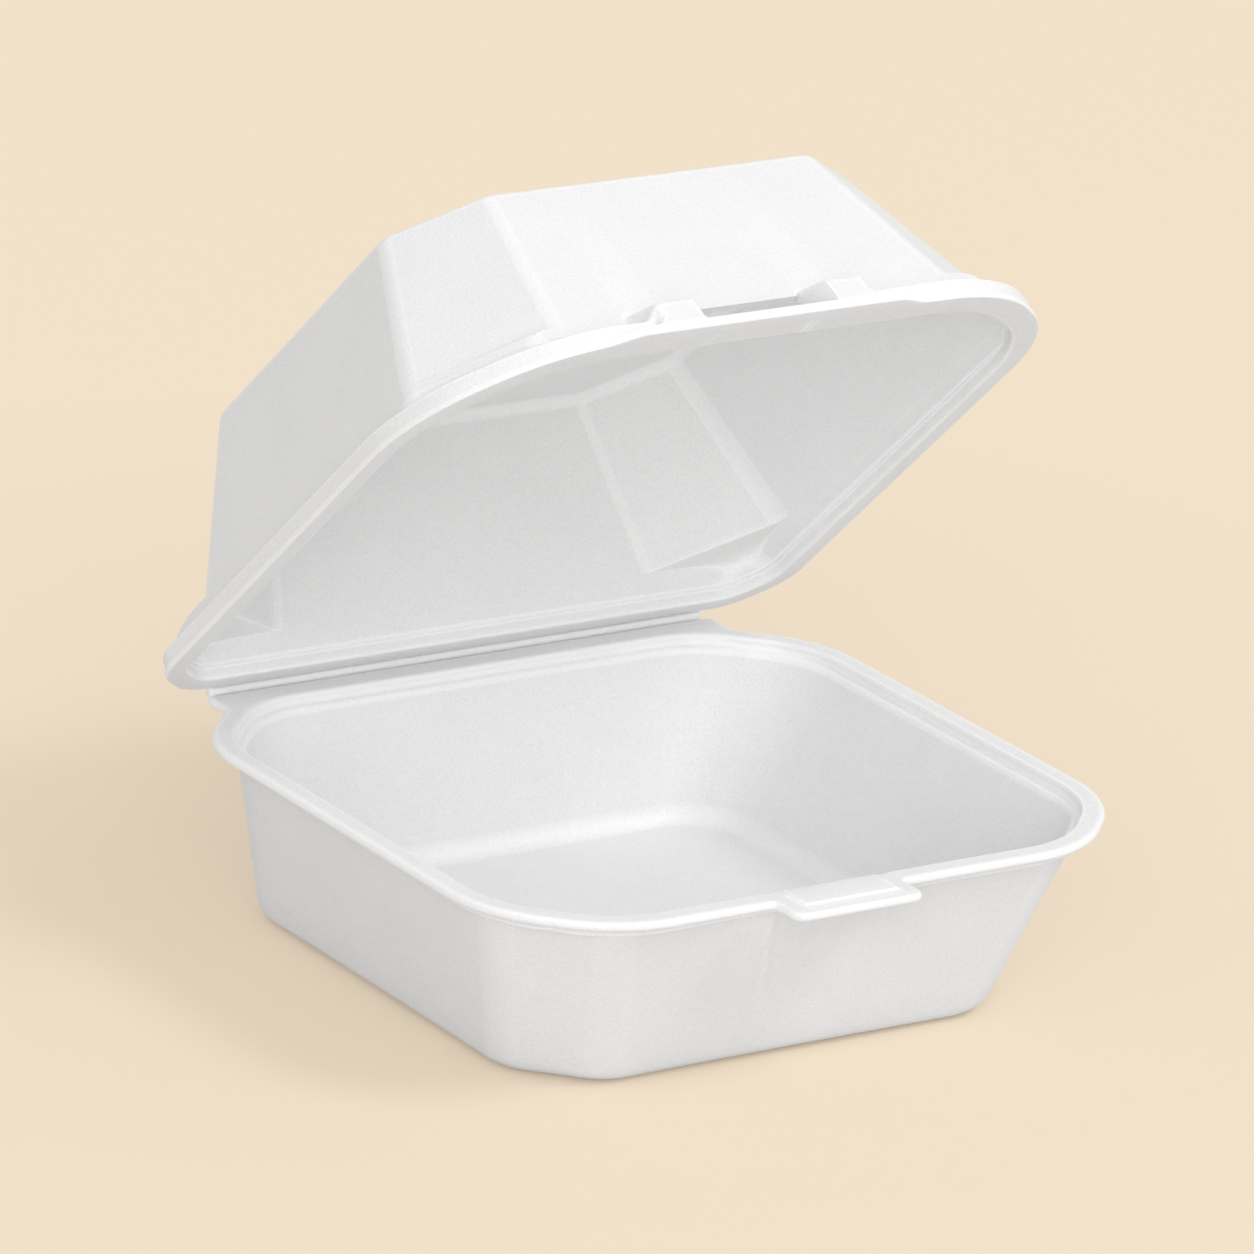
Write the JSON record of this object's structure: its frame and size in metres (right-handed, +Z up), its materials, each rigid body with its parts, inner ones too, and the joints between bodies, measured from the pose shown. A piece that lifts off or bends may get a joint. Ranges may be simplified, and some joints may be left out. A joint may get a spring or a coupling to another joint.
{
  "type": "foam clamshell container",
  "caption": "White moulded foam takeaway container with a hinged domed lid, a latch tab on the tray and a slot for it in the lid.",
  "frame": {"origin": "middle of the tray's flat underside, in the plane it rests on, half way between the sides", "axes": "+X along the hinge to the right of someone facing the latch, +Y from the latch to the hinge, +Z up"},
  "size_m": [0.152, 0.1707, 0.1589],
  "materials": {
    "foam": "matte white expanded polystyrene foam with a very fine bead grain"
  },
  "bodies": {
    "tray": {"base_tray": "foam"},
    "bar": {"hinge_bar": "foam"},
    "lid": {"lid": "foam"}
  },
  "joints": [
    {"name": "tray_crease", "type": "hinge", "parent": "tray", "child": "bar", "pos_m": [0, 0.0715, 0.03945], "axis": [-1, 0, 0], "range_deg": [-22, 68]},
    {"name": "lid_crease", "type": "hinge", "parent": "bar", "child": "lid", "pos_m": [0, 0.07274, 0.04251], "axis": [-1, 0, 0], "range_deg": [-22, 68]}
  ]
}
